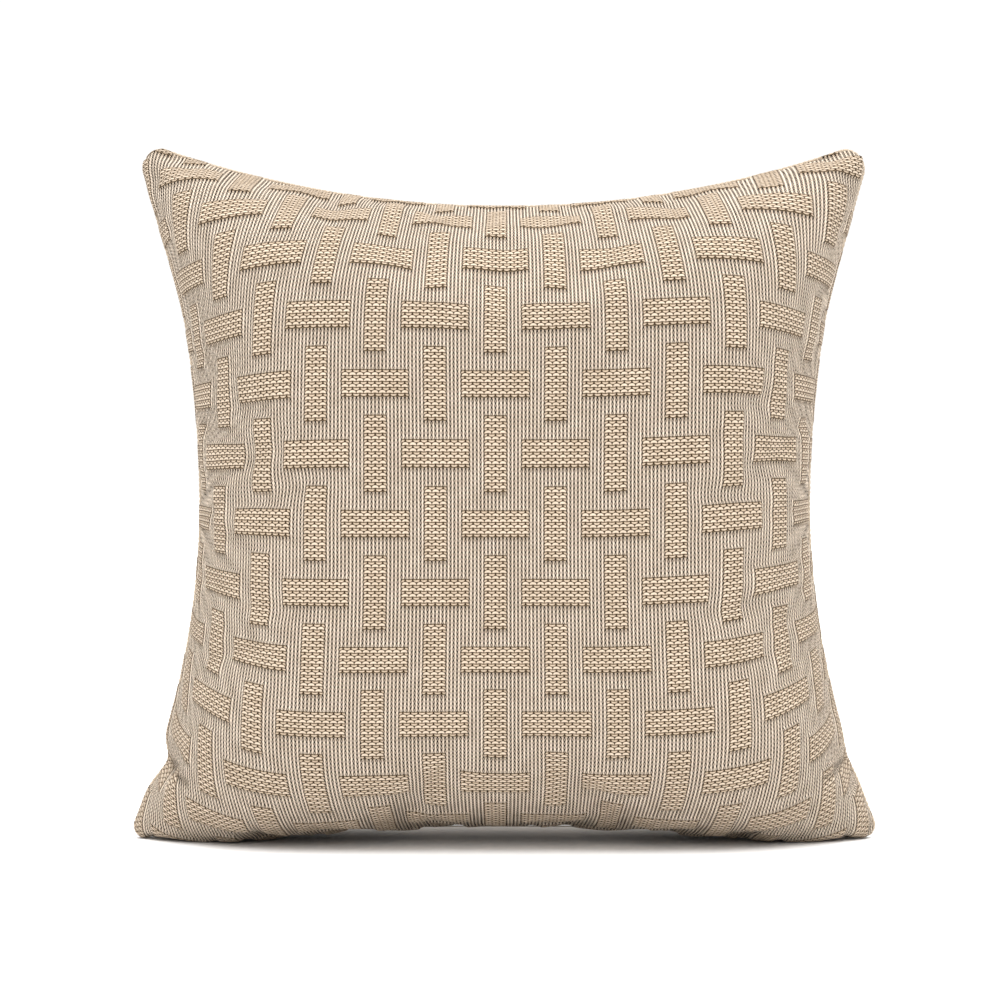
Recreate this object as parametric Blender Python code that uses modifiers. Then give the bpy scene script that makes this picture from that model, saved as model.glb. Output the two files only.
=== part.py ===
"""Knitted throw pillow: a zipped cover round a separate filled insert.

The pillow stands on its bottom edge. X runs across it, Y through it (the front
faces -Y) and Z up. The zip lies in the bottom seam and its slider runs along X.
"""

import math

import bpy
import bmesh
import numpy as np

MM = 0.001

# Cover, in millimetres.
FABRIC_WIDTH = 500.0
FABRIC_HEIGHT = 515.0
FABRIC_WALL = 3.2
HALF_DEPTH = 97.0
SIDE_HALF_WIDTH = 194.5
TOP_FLARE = 38.0
BOTTOM_FLARE = 46.5
WAIST_HEIGHT = 216.0
CENTRE_HEIGHT = 206.0
TOP_MIDDLE = 403.5
TOP_RISE = 43.5
CORNER_HEIGHT = 447.0
CORNER_PULL = 5.0
ARCH_HEIGHT = 8.5
ARCH_HALF_SPAN = 154.0
SEAM_GAP = 2.0
SEAM_RADIUS = 1.4

# How steeply the fabric turns from the flat middle into the seams.
SHOULDER_AT = 0.665
SHOULDER_SPREAD = 0.17
SEAM_SLOPE = math.radians(84.0)
CORNER_POWER = 3.0

# Zip in the bottom seam.
ZIP_HALF_OPENING = 166.0
ZIP_SLOT = 4.0
HEM_HEIGHT = 8.5
ZIP_HEIGHT = 12.6
COIL_HALF_LENGTH = 155.5
COIL_OFFSET = 1.7
COIL_RADIUS = 0.7
TAPE_HALF_LENGTH = 170.0
TAPE_INNER = 2.75
TAPE_OUTER = 13.0
TAPE_THICKNESS = 0.6
SLIDER_AT_REST = 150.0
SLIDER_HALF_LENGTH = 4.6
SLIDER_HALF_WIDTH = 3.6
SLIDER_PLATE = 1.0
SLIDER_THROAT = 1.5
PULL_LENGTH = 22.0
PULL_HALF_WIDTH = 2.6
PULL_THICKNESS = 1.0
PULL_DROP = 3.8

# Insert.
INSERT_HALF_WIDTH = 188.0
INSERT_FLARE = 13.0
INSERT_TOP = 397.0
INSERT_TOP_RISE = 18.0
INSERT_BOTTOM = 17.5
INSERT_HALF_DEPTH = 92.0
INSERT_WALL = 0.8
INSERT_SEAM_GAP = 1.2
INSERT_SEAM_RADIUS = 0.8
FILL_INSET = 2.0
FILL_REACH = 0.95


def smooth_step(low, high, value):
    """0 below low, 1 above high and smooth between them."""
    share = min(1.0, max(0.0, (value - low) / (high - low)))
    return share * share * (3.0 - 2.0 * share)


def turn_angle(share):
    """Slope of the fabric at a share of the way from the middle to a seam."""
    rise = 0.5 * (1.0 + math.tanh((share - SHOULDER_AT) / SHOULDER_SPREAD))
    return SEAM_SLOPE * rise


STEPS = 400
SHARES = np.linspace(0.0, 1.0, STEPS + 1)
SINES = np.array([math.sin(turn_angle(share)) for share in SHARES])
SINE_SUM = np.concatenate([[0.0], np.cumsum(0.5 * (SINES[1:] + SINES[:-1]) / STEPS)])
FULLNESS = 1.0 - SINE_SUM / SINE_SUM[-1]


def fullness(share):
    """1 in the middle of the pillow and 0 at the seam."""
    return float(np.interp(abs(share), SHARES, FULLNESS))


def shared_fullness(one, other):
    """Fullness where two directions meet: close to the smaller, and round between them."""
    one = np.maximum(one, 1e-4)
    other = np.maximum(other, 1e-3)
    return (one ** -CORNER_POWER + other ** -CORNER_POWER - 1.0) ** (-1.0 / CORNER_POWER)


def run(share, other):
    """How far the fabric reaches at a share of its way, where the other way is at this share."""
    along = np.maximum(FULLNESS, 1e-4)
    ratio = shared_fullness(along, fullness(other)) / along
    slopes = np.clip(SINES * ratio ** (CORNER_POWER + 1.0), 0.0, 0.995)
    reach = np.sqrt(1.0 - slopes * slopes)
    total = np.concatenate([[0.0], np.cumsum(0.5 * (reach[1:] + reach[:-1]) / STEPS)])
    value = float(np.interp(abs(share), SHARES, total)) / float(total[-1])
    return math.copysign(value, share)


def body_depth(across, up, rim, full):
    """Half the pillow's thickness at a place on the fabric."""
    share = float(shared_fullness(fullness(across), fullness(up)))
    if max(abs(across), abs(up)) >= 1.0:
        share = 0.0
    return rim + (full - rim) * share


def bottom_arch(x):
    """Height of the belly's underside."""
    share = abs(x) / ARCH_HALF_SPAN
    return ARCH_HEIGHT * max(0.0, 1.0 - share * share)


def rim_depth(across, up, gap, wall):
    """Half the distance between the two panels' edges, with room for the wall at a corner."""
    corner = smooth_step(0.84, 1.0, min(abs(across), abs(up)))
    return gap + wall * (0.2 + 0.8 * corner)


def round_corner(across, up, x, z):
    """Pulls a corner in so that the outline turns it on a curve."""
    share = max(0.0, min(abs(across), abs(up)) - 0.88) / 0.12
    pull = CORNER_PULL * share * share
    return x - math.copysign(pull, across), z - math.copysign(pull, up)


def cover_point(across, up):
    """Outer surface of the front panel, across and up from -1 to 1, in millimetres."""
    edge_height = CENTRE_HEIGHT + up * (CORNER_HEIGHT - CENTRE_HEIGHT if up > 0 else CENTRE_HEIGHT)
    if edge_height > WAIST_HEIGHT:
        share = (edge_height - WAIST_HEIGHT) / (CORNER_HEIGHT - WAIST_HEIGHT)
        half_width = SIDE_HALF_WIDTH + TOP_FLARE * share * share
    else:
        share = (WAIST_HEIGHT - edge_height) / WAIST_HEIGHT
        half_width = SIDE_HALF_WIDTH + BOTTOM_FLARE * share * share
    x = half_width * run(across, up)
    edge_x = SIDE_HALF_WIDTH * 1.19 * across
    if up > 0:
        top = TOP_MIDDLE + TOP_RISE * abs(across) ** 2.1
        z = CENTRE_HEIGHT + (top - CENTRE_HEIGHT) * run(up, across)
    else:
        low = bottom_arch(edge_x) - 6.0 * (1.0 - smooth_step(0.86, 1.0, abs(across)))
        z = CENTRE_HEIGHT + (CENTRE_HEIGHT - low) * run(up, across)
        z = max(z, bottom_arch(x))
        hem = HEM_HEIGHT * (1.0 - smooth_step(0.72, 0.86, abs(across)))
        tucked = smooth_step(0.965, 1.0, abs(up))
        z += max(0.0, hem - bottom_arch(x)) * tucked
    x, z = round_corner(across, up, x, z)
    rim = rim_depth(across, up, SEAM_GAP, FABRIC_WALL)
    if up < 0:
        opened = 1.0 - smooth_step(0.72, 0.80, abs(across))
        rim = max(rim, ZIP_SLOT * opened * smooth_step(0.9, 1.0, abs(up)))
    depth = body_depth(across, up, rim, HALF_DEPTH)
    return np.array([x, -depth, z])


def insert_point(across, up):
    """Outer surface of the insert's front panel, in millimetres."""
    height = 0.5 * (INSERT_TOP - INSERT_BOTTOM)
    middle = 0.5 * (INSERT_TOP + INSERT_BOTTOM)
    half_width = INSERT_HALF_WIDTH + INSERT_FLARE * up * up
    x = half_width * run(across, up)
    rise = INSERT_TOP_RISE * across * across if up > 0 else 0.0
    z = middle + (height + rise) * run(up, across)
    x, z = round_corner(across, up, x, z)
    rim = rim_depth(across, up, INSERT_SEAM_GAP, INSERT_WALL)
    depth = body_depth(across, up, rim, INSERT_HALF_DEPTH)
    return np.array([x, -depth, z])


def inner_point(surface, across, up, wall, gap):
    """The point one wall thickness inside a surface, kept clear of the seam plane."""
    step = 0.004
    a_low, a_high = max(-1.0, across - step), min(1.0, across + step)
    u_low, u_high = max(-1.0, up - step), min(1.0, up + step)
    along_x = surface(a_high, up) - surface(a_low, up)
    along_z = surface(across, u_high) - surface(across, u_low)
    normal = np.cross(along_x, along_z)
    normal /= np.linalg.norm(normal)
    outer = surface(across, up)
    inner = outer - wall * normal
    edge = abs(across) >= 1.0 or abs(up) >= 1.0
    inner[1] = outer[1] + min(wall, -outer[1] - gap) if edge and -outer[1] > gap + 0.8 * wall else inner[1]
    inner[1] = min(inner[1], -gap)
    return inner


def new_material(name, colour, roughness, metallic=0.0):
    material = bpy.data.materials.new(name)
    material.use_nodes = True
    shader = material.node_tree.nodes["Principled BSDF"]
    shader.inputs["Base Color"].default_value = (*colour, 1.0)
    shader.inputs["Roughness"].default_value = roughness
    shader.inputs["Metallic"].default_value = metallic
    material.diffuse_color = (*colour, 1.0)
    return material


def place(name, mesh, material, home, smooth=True, origin=(0.0, 0.0, 0.0)):
    """Adds a mesh held in millimetres as an object in metres, with its own origin."""
    shift = np.array(origin)
    for vertex in mesh.vertices:
        vertex.co = (np.array(vertex.co[:]) - shift) * MM
    mesh.name = name
    mesh.materials.append(material)
    for face in mesh.polygons:
        face.use_smooth = smooth
    piece = bpy.data.objects.new(name, mesh)
    piece.location = tuple(shift * MM)
    home.objects.link(piece)
    return piece


def facing_out(mesh):
    """Turns a closed mesh's faces outwards."""
    shape = bmesh.new()
    shape.from_mesh(mesh)
    bmesh.ops.recalc_face_normals(shape, faces=shape.faces)
    shape.to_mesh(mesh)
    shape.free()
    return mesh


def grid_mesh(layers):
    """A closed skin from two grids of points joined along their borders."""
    rows = len(layers[0])
    columns = len(layers[0][0])
    points = [tuple(p) for layer in layers for row in layer for p in row]
    faces = []

    def index(layer, row, column):
        return layer * rows * columns + row * columns + column

    for layer in range(2):
        for row in range(rows - 1):
            for column in range(columns - 1):
                corners = [
                    index(layer, row, column),
                    index(layer, row, column + 1),
                    index(layer, row + 1, column + 1),
                    index(layer, row + 1, column),
                ]
                start = int((row < rows // 2) != (column < columns // 2))
                ring = corners[start:] + corners[:start]
                for face in (ring[:3], [ring[0], ring[2], ring[3]]):
                    faces.append(face if layer == 0 else face[::-1])
    border = [(0, column) for column in range(columns)]
    border += [(row, columns - 1) for row in range(1, rows)]
    border += [(rows - 1, column) for column in range(columns - 2, -1, -1)]
    border += [(row, 0) for row in range(rows - 2, 0, -1)]
    for here, there in zip(border, border[1:] + border[:1]):
        faces.append([index(0, *here), index(1, *here), index(1, *there), index(0, *there)])
    mesh = bpy.data.meshes.new("skin")
    mesh.from_pydata(points, [], faces)
    mesh.update()
    return facing_out(mesh)


def shell(name, surface, columns, rows, wall, gap, back, material, home):
    """One fabric panel with a real wall, on the front or the back."""
    outer = [[surface(a, u) for a in columns] for u in rows]
    inner = [[inner_point(surface, a, u, wall, gap) for a in columns] for u in rows]
    if back:
        mirror = np.array([1.0, -1.0, 1.0])
        outer = [[p * mirror for p in row] for row in outer]
        inner = [[p * mirror for p in row] for row in inner]
    return place(name, grid_mesh([outer, inner]), material, home)


def tube(name, points, radius, material, home, sides=2):
    """A round thread or cord along a line of points in millimetres, with closed ends."""
    curve = bpy.data.curves.new(name, "CURVE")
    curve.dimensions = "3D"
    curve.bevel_depth = radius * MM
    curve.bevel_resolution = sides
    curve.use_fill_caps = True
    spline = curve.splines.new("POLY")
    spline.points.add(len(points) - 1)
    for knot, point in zip(spline.points, points):
        knot.co = (point[0] * MM, point[1] * MM, point[2] * MM, 1.0)
    spline.use_smooth = True
    curve.materials.append(material)
    piece = bpy.data.objects.new(name, curve)
    home.objects.link(piece)
    return piece


def prism(outline, axis, low, high):
    """A flat outline given thickness along an axis, in millimetres."""
    def lift(point, level):
        spot = list(point)
        spot.insert(axis, level)
        return tuple(spot)

    count = len(outline)
    points = [lift(p, low) for p in outline] + [lift(p, high) for p in outline]
    faces = [list(range(count)), list(range(2 * count - 1, count - 1, -1))]
    for here in range(count):
        there = (here + 1) % count
        faces.append([here, there, count + there, count + here])
    mesh = bpy.data.meshes.new("prism")
    mesh.from_pydata(points, [], faces)
    mesh.update()
    return facing_out(mesh)


def box(low, high):
    """A plain block between two corners, in millimetres."""
    outline = [(low[0], low[1]), (high[0], low[1]), (high[0], high[1]), (low[0], high[1])]
    return prism(outline, 2, low[2], high[2])


def rounded(low, high, radius, steps=4):
    """A rectangle's outline with rounded corners."""
    spots = [
        (high[0] - radius, high[1] - radius, 0.0),
        (low[0] + radius, high[1] - radius, 90.0),
        (low[0] + radius, low[1] + radius, 180.0),
        (high[0] - radius, low[1] + radius, 270.0),
    ]
    outline = []
    for x, y, start in spots:
        for step in range(steps + 1):
            angle = math.radians(start + 90.0 * step / steps)
            outline.append((x + radius * math.cos(angle), y + radius * math.sin(angle)))
    return outline


def combine(piece, mesh, operation, helpers):
    """Joins a helper shape to a piece, or cuts it away."""
    shift = np.array(piece.location) / MM
    helper = place("helper", mesh, piece.data.materials[0], helpers, False, tuple(shift))
    helper.hide_render = True
    helper.display_type = "WIRE"
    modifier = piece.modifiers.new(operation.title(), "BOOLEAN")
    modifier.operation = operation
    modifier.solver = "EXACT"
    modifier.object = helper


def soften(piece, width):
    """Takes the sharpness off a hard piece's edges."""
    modifier = piece.modifiers.new("Bevel", "BEVEL")
    modifier.width = width * MM
    modifier.segments = 1
    modifier.limit_method = "ANGLE"
    modifier.angle_limit = math.radians(40.0)


def hem_line(columns, out, drop):
    """A line just under the hem at a distance from the seam plane."""
    line = []
    for across in columns:
        edge = cover_point(across, -1.0)
        belly = cover_point(across, -0.965)
        share = (-out - edge[1]) / (belly[1] - edge[1])
        spot = edge + (belly - edge) * share
        line.append((spot[0], spot[1], spot[2] - drop))
    return line


def seam_path(surface, inset, columns, rows, start):
    """The seam line round the pillow from one side of the bottom to the other."""
    path = [(across, -1.0) for across in columns if across >= start]
    path += [(1.0, up) for up in rows[1:]]
    path += [(across, 1.0) for across in columns[-2::-1]]
    path += [(-1.0, up) for up in rows[-2::-1]]
    path += [(across, -1.0) for across in columns[1:] if across <= -start]
    points = []
    for across, up in path:
        spot = surface(across, up)
        shift_x = inset * smooth_step(0.90, 1.0, abs(across))
        shift_z = inset * smooth_step(0.90, 1.0, abs(up))
        x = spot[0] - math.copysign(shift_x, across)
        z = spot[2] - math.copysign(shift_z, up)
        points.append((x, 0.0, z))
    return points


def main():
    for thing in list(bpy.data.objects):
        bpy.data.objects.remove(thing, do_unlink=True)
    home = bpy.data.collections.new("throw_pillow")
    helpers = bpy.data.collections.new("cutters")
    bpy.context.scene.collection.children.link(home)
    bpy.context.scene.collection.children.link(helpers)

    knit_front = new_material("knit_front", (0.62, 0.53, 0.42), 0.9)
    knit_back = new_material("knit_back", (0.60, 0.51, 0.40), 0.9)
    seam_yarn = new_material("seam_yarn", (0.58, 0.49, 0.38), 0.9)
    tape = new_material("zip_tape", (0.55, 0.47, 0.37), 0.85)
    coil = new_material("zip_coil", (0.66, 0.58, 0.47), 0.35)
    metal = new_material("zip_metal", (0.55, 0.52, 0.48), 0.35, 0.9)
    thread = new_material("sewing_thread", (0.60, 0.52, 0.42), 0.8)
    casing = new_material("insert_casing", (0.86, 0.86, 0.84), 0.85)
    filling = new_material("insert_filling", (0.92, 0.92, 0.90), 0.95)
    satin = new_material("label_satin", (0.90, 0.89, 0.86), 0.45)

    half = [0.0, 0.11, 0.22, 0.33, 0.44, 0.54, 0.62, 0.70, 0.78, 0.86, 0.94, 1.0]
    columns = [-a for a in half[:0:-1]] + half
    low_rows = [1.0, 0.965, 0.90, 0.83, 0.75, 0.67, 0.59, 0.50, 0.39, 0.27, 0.14]
    rows = [-a for a in low_rows] + half
    shell("cover_front", cover_point, columns, rows, FABRIC_WALL, SEAM_GAP, False, knit_front, home)
    shell("cover_back", cover_point, columns, rows, FABRIC_WALL, SEAM_GAP, True, knit_back, home)

    inset = SEAM_RADIUS + 0.2
    path = seam_path(cover_point, inset, columns, rows, 0.75)
    tube("linking_seam", path, SEAM_RADIUS, seam_yarn, home, 1)

    for side, sign in (("front", -1.0), ("back", 1.0)):
        near, far = sorted((sign * TAPE_INNER, sign * TAPE_OUTER))
        low = ZIP_HEIGHT - 0.5 * TAPE_THICKNESS
        mesh = box((-TAPE_HALF_LENGTH, near, low), (TAPE_HALF_LENGTH, far, low + TAPE_THICKNESS))
        place(f"zip_tape_{side}", mesh, tape, home, False)
        ends = [(x, sign * COIL_OFFSET, ZIP_HEIGHT) for x in (-COIL_HALF_LENGTH, COIL_HALF_LENGTH)]
        tube(f"zip_coil_{side}", ends, COIL_RADIUS, coil, home)
        near, far = sorted((sign * 1.0, sign * 2.45))
        mesh = box((156.0, near, ZIP_HEIGHT - 0.9), (158.6, far, ZIP_HEIGHT + 0.9))
        soften(place(f"zip_top_stop_{side}", mesh, metal, home, False), 0.25)
        hem = hem_line([a for a in columns if abs(a) <= 0.7], 5.6, 0.85)
        stitches = [(x, -sign * y, z) for x, y, z in hem]
        tube(f"zip_stitching_{side}", stitches, 0.35, thread, home, 1)

    mesh = box((-159.4, -2.4, ZIP_HEIGHT - 1.0), (-156.2, 2.4, ZIP_HEIGHT + 1.0))
    soften(place("zip_bottom_stop", mesh, metal, home, False), 0.3)

    centre = SLIDER_AT_REST
    under = ZIP_HEIGHT - SLIDER_THROAT - SLIDER_PLATE
    over = ZIP_HEIGHT + SLIDER_THROAT
    plan = rounded(
        (centre - SLIDER_HALF_LENGTH, -SLIDER_HALF_WIDTH),
        (centre + SLIDER_HALF_LENGTH, SLIDER_HALF_WIDTH), 1.8)
    axis_height = under - 1.1
    slider = place("zip_slider", prism(plan, 2, under, under + SLIDER_PLATE), metal, home, False,
                   (centre, 0.0, ZIP_HEIGHT))
    combine(slider, prism(plan, 2, over, over + SLIDER_PLATE), "UNION", helpers)
    post = box((centre + 0.8, -0.65, under + 0.3), (centre + 3.6, 0.65, over + 0.7))
    combine(slider, post, "UNION", helpers)
    reach = SLIDER_HALF_LENGTH - 1.9
    for sign in (-1.0, 1.0):
        near, far = sorted((sign * 2.9, sign * (SLIDER_HALF_WIDTH - 0.05)))
        lip = box((centre - reach, near, under + 0.4), (centre + reach, far, ZIP_HEIGHT - 0.75))
        combine(slider, lip, "UNION", helpers)
        lip = box((centre - reach, near, ZIP_HEIGHT + 0.75), (centre + reach, far, over + 0.6))
        combine(slider, lip, "UNION", helpers)
    drop = under - 2.7
    bail = [
        (centre - 3.3, under + 0.5), (centre - 3.3, drop + 0.5), (centre - 2.7, drop),
        (centre + 2.7, drop), (centre + 3.3, drop + 0.5), (centre + 3.3, under + 0.5),
        (centre + 2.45, under + 0.5), (centre + 2.45, drop + 0.7), (centre - 2.45, drop + 0.7),
        (centre - 2.45, under + 0.5),
    ]
    combine(slider, prism(bail, 1, -0.6, 0.6), "UNION", helpers)

    plan = rounded(
        (centre - PULL_LENGTH, -PULL_HALF_WIDTH), (centre + 0.6, PULL_HALF_WIDTH), 0.55)
    half_thick = 0.5 * PULL_THICKNESS
    pull = place("zip_pull", prism(plan, 2, axis_height - half_thick, axis_height + half_thick),
                 metal, home, False, (centre, 0.0, axis_height))
    eye = box((centre - 4.5, -1.05, axis_height - 2.0), (centre - 0.5, 1.05, axis_height + 2.0))
    combine(pull, eye, "DIFFERENCE", helpers)
    grip = prism(rounded((centre - 20.0, -1.1), (centre - 15.0, 1.1), 1.0), 2,
                 axis_height - 2.0, axis_height + 2.0)
    combine(pull, grip, "DIFFERENCE", helpers)

    half = [0.0, 0.15, 0.30, 0.44, 0.56, 0.66, 0.76, 0.86, 0.94, 1.0]
    columns = [-a for a in half[:0:-1]] + half
    shell("insert_front", insert_point, columns, columns, INSERT_WALL, INSERT_SEAM_GAP, False,
          casing, home)
    shell("insert_back", insert_point, columns, columns, INSERT_WALL, INSERT_SEAM_GAP, True,
          casing, home)
    loop = seam_path(insert_point, INSERT_SEAM_RADIUS + 0.2, columns, columns, 0.1)
    tube("insert_seam", loop, INSERT_SEAM_RADIUS, thread, home, 1)
    columns = [-FILL_REACH] + [a for a in columns if abs(a) < 0.9] + [FILL_REACH]
    front = [[inner_point(insert_point, a, u, FILL_INSET, 0.4) for a in columns] for u in columns]
    back = [[p * np.array([1.0, -1.0, 1.0]) for p in row] for row in front]
    place("insert_fill", grid_mesh([front, back]), filling, home)

    mesh = box((203.5, -0.4, 10.0), (219.0, 0.4, 38.0))
    place("care_label", mesh, satin, home, False)
    mesh = box((-219.0, -0.4, 10.0), (-203.5, 0.4, 38.0))
    place("insert_label", mesh, satin, home, False)


main()
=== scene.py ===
import functools
import math
from typing import NamedTuple

import bpy
import numpy as np
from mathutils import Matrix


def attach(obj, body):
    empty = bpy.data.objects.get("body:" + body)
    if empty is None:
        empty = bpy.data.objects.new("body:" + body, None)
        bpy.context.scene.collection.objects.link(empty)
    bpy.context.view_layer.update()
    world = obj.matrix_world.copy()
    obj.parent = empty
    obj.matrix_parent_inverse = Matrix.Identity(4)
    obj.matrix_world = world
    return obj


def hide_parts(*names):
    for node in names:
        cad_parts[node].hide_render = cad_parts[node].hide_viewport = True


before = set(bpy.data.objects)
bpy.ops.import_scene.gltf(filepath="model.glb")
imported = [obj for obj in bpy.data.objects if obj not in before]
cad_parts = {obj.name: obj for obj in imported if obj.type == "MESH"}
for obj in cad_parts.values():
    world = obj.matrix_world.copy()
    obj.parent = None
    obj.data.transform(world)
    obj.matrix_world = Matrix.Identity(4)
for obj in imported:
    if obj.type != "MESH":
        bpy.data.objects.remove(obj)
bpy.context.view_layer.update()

MM = 0.001

# The pillow's form, in millimetres. Shares run from 0 in the middle to 1 at a seam.
HALF_DEPTH = 97.0
SIDE_HALF_WIDTH = 194.5
TOP_FLARE = 38.0
BOTTOM_FLARE = 46.5
WAIST_HEIGHT = 216.0
CENTRE_HEIGHT = 206.0
TOP_MIDDLE = 403.5
TOP_RISE = 43.5
TOP_POWER = 2.1
CORNER_HEIGHT = 447.0
ARCH_HEIGHT = 8.5
ARCH_HALF_SPAN = 154.0
LOW_HALF_WIDTH = 1.19 * SIDE_HALF_WIDTH
SHOULDER_AT = 0.665
SHOULDER_SPREAD = 0.17
SEAM_SLOPE = math.radians(84.0)
CORNER_POWER = 3.0

# The lower edge: the filling presses a little below the arch and is flattened there, the hem is
# lifted over the zip, and a slot parts the two hems. Pairs of shares are where each of them fades.
LOW_BULGE = 6.0
LOW_BULGE_FADE = (0.86, 1.0)
HEM_HEIGHT = 8.5
HEM_FADE = (0.72, 0.86)
HEM_TUCK = (0.965, 1.0)
ZIP_SLOT = 4.0
SLOT_FADE = (0.75, 0.83)
SLOT_TUCK = (0.90, 1.0)
PANEL_GAP = 0.5

# The two rows that turn the hem in, innermost first: how far up and how far in each lies, in
# millimetres, how much shorter it is, and how far down the knit it comes from.
HEM_ROWS = ((3.8, 3.0, 0.0152, 1.035), (3.0, 0.3, 0.012, 1.02))

# The fabric's give as cloth: a negative shrink lets it grow, and no point moves further than this.
CLOTH_FRAMES = 20
SHRINK = -0.02
MOST_MOVE = 6.0

# The upper corners' ears: side, how far each is pulled out, and the heights and widths it grows over.
EARS = ((-1.0, 4.0), (1.0, 3.0))
EAR_HEIGHTS = (325.0, 400.0)
EAR_WIDTHS = (120.0, 215.0)

# The radius that rounds each corner of a panel, by its row and column in the sheet.
CORNER_RADII = {(0, 0): 8.0, (0, -1): 8.0, (-1, 0): 12.0, (-1, -1): 12.0}
CORNER_STEPS = 4


class Fold(NamedTuple):
    """A fold above a lower corner, in millimetres, from the seam to where it runs out."""

    start_x: float
    start_z: float
    end_x: float
    end_z: float
    deep: float
    bulge: float
    notch: float


# How deep each fold is, how far the filling bulges over it and how far it draws the seam in.
FOLDS = (Fold(-213.5, 46.5, -199.0, 40.0, deep=9.0, bulge=3.0, notch=6.5),
         Fold(217.0, 50.0, 199.0, 43.0, deep=7.0, bulge=2.5, notch=2.0))
GROOVE_WIDTH = 3.2
GROOVE_SHARE = 0.75
BULGE_ABOVE = 8.0
BULGE_WIDTH = 7.0
BULGE_DEPTH = 10.0
BULGE_SAG = 3.0
NOTCH_ABOVE = 3.0
NOTCH_HEIGHT = 11.0

# The panels' grids of points, a little closer together in the middle, and their finer levels.
ACROSS, UPWARD = 52, 90
CENTRE_PACK = 0.055
FINER = {"front": 3, "back": 2}

# The knit: wales run up the panel, courses across it, and purl rows cross the raised blocks.
# Block sizes are half widths in wales and half heights in purl rows.
WALES = 104.0
COURSES = 180.0
CELL_WALES = 8.0
CELL_COURSES = 15.0
PURL_PER_COURSE = 0.777
WIDE_BLOCK = (4.50, 2.30)
TALL_BLOCK = (1.50, 6.30)
MAP_HALF = 0.41
MAP_SPREAD = 1.015
MAP_SHIFT = 0.024

# Plain stitches: how many courses a leg leans over a wale, and how deep the gaps between legs go.
LEG_LEAN = 5.0
GAP_DEPTH = 2.1
LEG_SWELL = 0.12

# Arcs of yarn on the blocks, as half thickness in rows and half width in wales.
OVER_ARC = (0.275, 0.51)
UNDER_ARC = (0.24, 0.47)
UNDER_HEIGHT = 0.76

# Relief, in millimetres, and the stitch height from 0 to 1 that stays level with the fabric.
BLOCK_RISE = 1.2
STITCH_RISE = 0.22
STITCH_LEVEL = 0.55
UNEVENNESS = 0.25

# Colours: the panels' yarn, the linked edge's, which is darker, and the coils'. Painted shade deep in a
# gap is browner, so its green and blue fall away faster than its red.
YARN = (0.815, 0.686, 0.555)
SHADE_HUE_FALL = (1.0, 1.15, 1.38)
EDGE_YARN = (0.60, 0.49, 0.37)
COIL_COLOUR = (0.60, 0.52, 0.42)

# The knit's tone: how much painted shadow falls under a block and how much painted shade lies on one,
# how steeply painted shade darkens into a gap, and how much patches and fuzz change it. Bump is in
# millimetres, with fuzz as a share of it.
UNDER_SHADE = 0.22
BLOCK_SHADE = 0.16
GAP_SHADE_STEEPNESS = 1.4
PATCH_TONE = 0.35
FUZZ_TONE = 0.30
STITCH_BUMP = 0.8
FUZZ_BUMP = 0.18

# The linked edge and the zip's coils, in millimetres.
EDGE_STEP = 1.5
EDGE_LOWEST = 1.4
EDGE_BEADS = {"Spacing": 3.4 * MM, "Thickness": 1.2 * MM, "Across": 1.3, "Along": 1.9}
EDGE_BOTTOM_SHARE = 0.125
ZIP_HEIGHT = 12.6
COIL_HALF_LENGTH = 155.0
COIL_OFFSET = 1.7
COIL_POINTS = 220
COIL_BEADS = {"Spacing": 1.4 * MM, "Thickness": 0.68 * MM, "Across": 1.25, "Along": 0.82}

# The studio. A sun has its strength, its spread and its lean back from straight down, in degrees.
# The sky is brighter overhead and behind the pillow, and looks white to the camera.
SUNS = {"front": (1.4, 75.0, 44.0), "overhead": (3.6, 70.0, 2.0)}
SKY_LEAST = 0.30
SKY_BEHIND = 0.70
SKY_OVERHEAD = 0.35
SKY_SEEN = 1.05
FLOOR_WHITE = 0.93
FLOOR_HALF = 6.0
FLOOR_DROP = 0.0005

# The camera: lens and film in millimetres, tilt in degrees, the rest in metres.
CAMERA_LENS = 150.0
FILM_WIDTH = 36.0
VIEW_WIDTH = 0.64
CAMERA_TILT = 2.2
CAMERA_X = -0.003
CAMERA_Z = 0.2165

# How full the pillow is on the way from its middle to a seam, in small steps: its slope grows
# towards SEAM_SLOPE round the shoulder.
STEPS = 400
SHARES = np.linspace(0.0, 1.0, STEPS + 1)
SINES = np.sin(SEAM_SLOPE * 0.5 * (1.0 + np.tanh((SHARES - SHOULDER_AT) / SHOULDER_SPREAD)))
SINE_SUM = np.concatenate([[0.0], np.cumsum(0.5 * (SINES[1:] + SINES[:-1]) / STEPS)])
FULLNESS = 1.0 - SINE_SUM / SINE_SUM[-1]


def smooth_step(low, high, value):
    share = np.clip((value - low) / (high - low), 0.0, 1.0)
    return share * share * (3.0 - 2.0 * share)


def fullness(share):
    """1 in the middle of the pillow and 0 at the seam."""
    return np.interp(np.abs(share), SHARES, FULLNESS)


def shared_fullness(one, other):
    one = np.maximum(one, 1e-4)
    other = np.maximum(other, 1e-4)
    return (one ** -CORNER_POWER + other ** -CORNER_POWER - 1.0) ** (-1.0 / CORNER_POWER)


def reach(share, other):
    """How far the fabric reaches along its way, as a share, for matching arrays."""
    answer = np.zeros(share.shape)
    for value in np.unique(np.round(np.abs(other), 9)):
        along = np.maximum(FULLNESS, 1e-4)
        ratio = shared_fullness(along, max(float(fullness(value)), 1e-3)) / along
        slope = np.clip(SINES * ratio ** (CORNER_POWER + 1.0), 0.0, 0.995)
        cosine = np.sqrt(1.0 - slope * slope)
        total = np.concatenate([[0.0], np.cumsum(0.5 * (cosine[1:] + cosine[:-1]) / STEPS)])
        here = np.abs(np.abs(other) - value) < 1e-8
        answer[here] = np.interp(np.abs(share[here]), SHARES, total / total[-1])
    return np.copysign(answer, share)


def bottom_arch(x):
    return ARCH_HEIGHT * np.maximum(0.0, 1.0 - (x / ARCH_HALF_SPAN) ** 2)


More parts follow.
